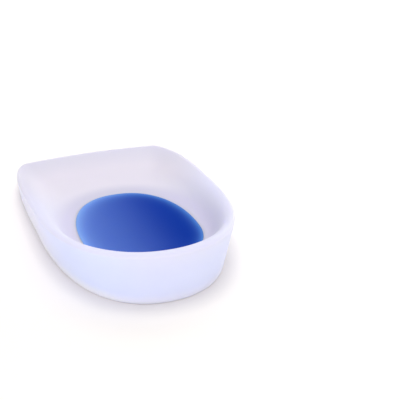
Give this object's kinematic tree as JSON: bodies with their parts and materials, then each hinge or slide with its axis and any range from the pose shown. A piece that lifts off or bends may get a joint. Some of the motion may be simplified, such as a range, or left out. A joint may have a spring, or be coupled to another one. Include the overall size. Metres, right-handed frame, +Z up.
{
  "type": "heel protector",
  "caption": "Silicone heel cup worn inside a shoe: a flat-soled bowl whose leaning wall falls to a thin rounded front edge, with an oval blue gel pad set flush in its floor.",
  "frame": {"origin": "on the surface the cup rests on, under the middle of its bounding box", "axes": "+Y from the heel end to the front edge, +Z up out of the bowl, +X to the right; the cup is symmetric about X = 0"},
  "size_m": [0.0666, 0.1096, 0.0212],
  "materials": {
    "milky_silicone": "satin, translucent, moulded",
    "blue_gel": "satin, translucent, cast"
  },
  "bodies": {
    "root": {"cup_body": "milky_silicone", "gel_pad": "blue_gel"}
  },
  "joints": []
}
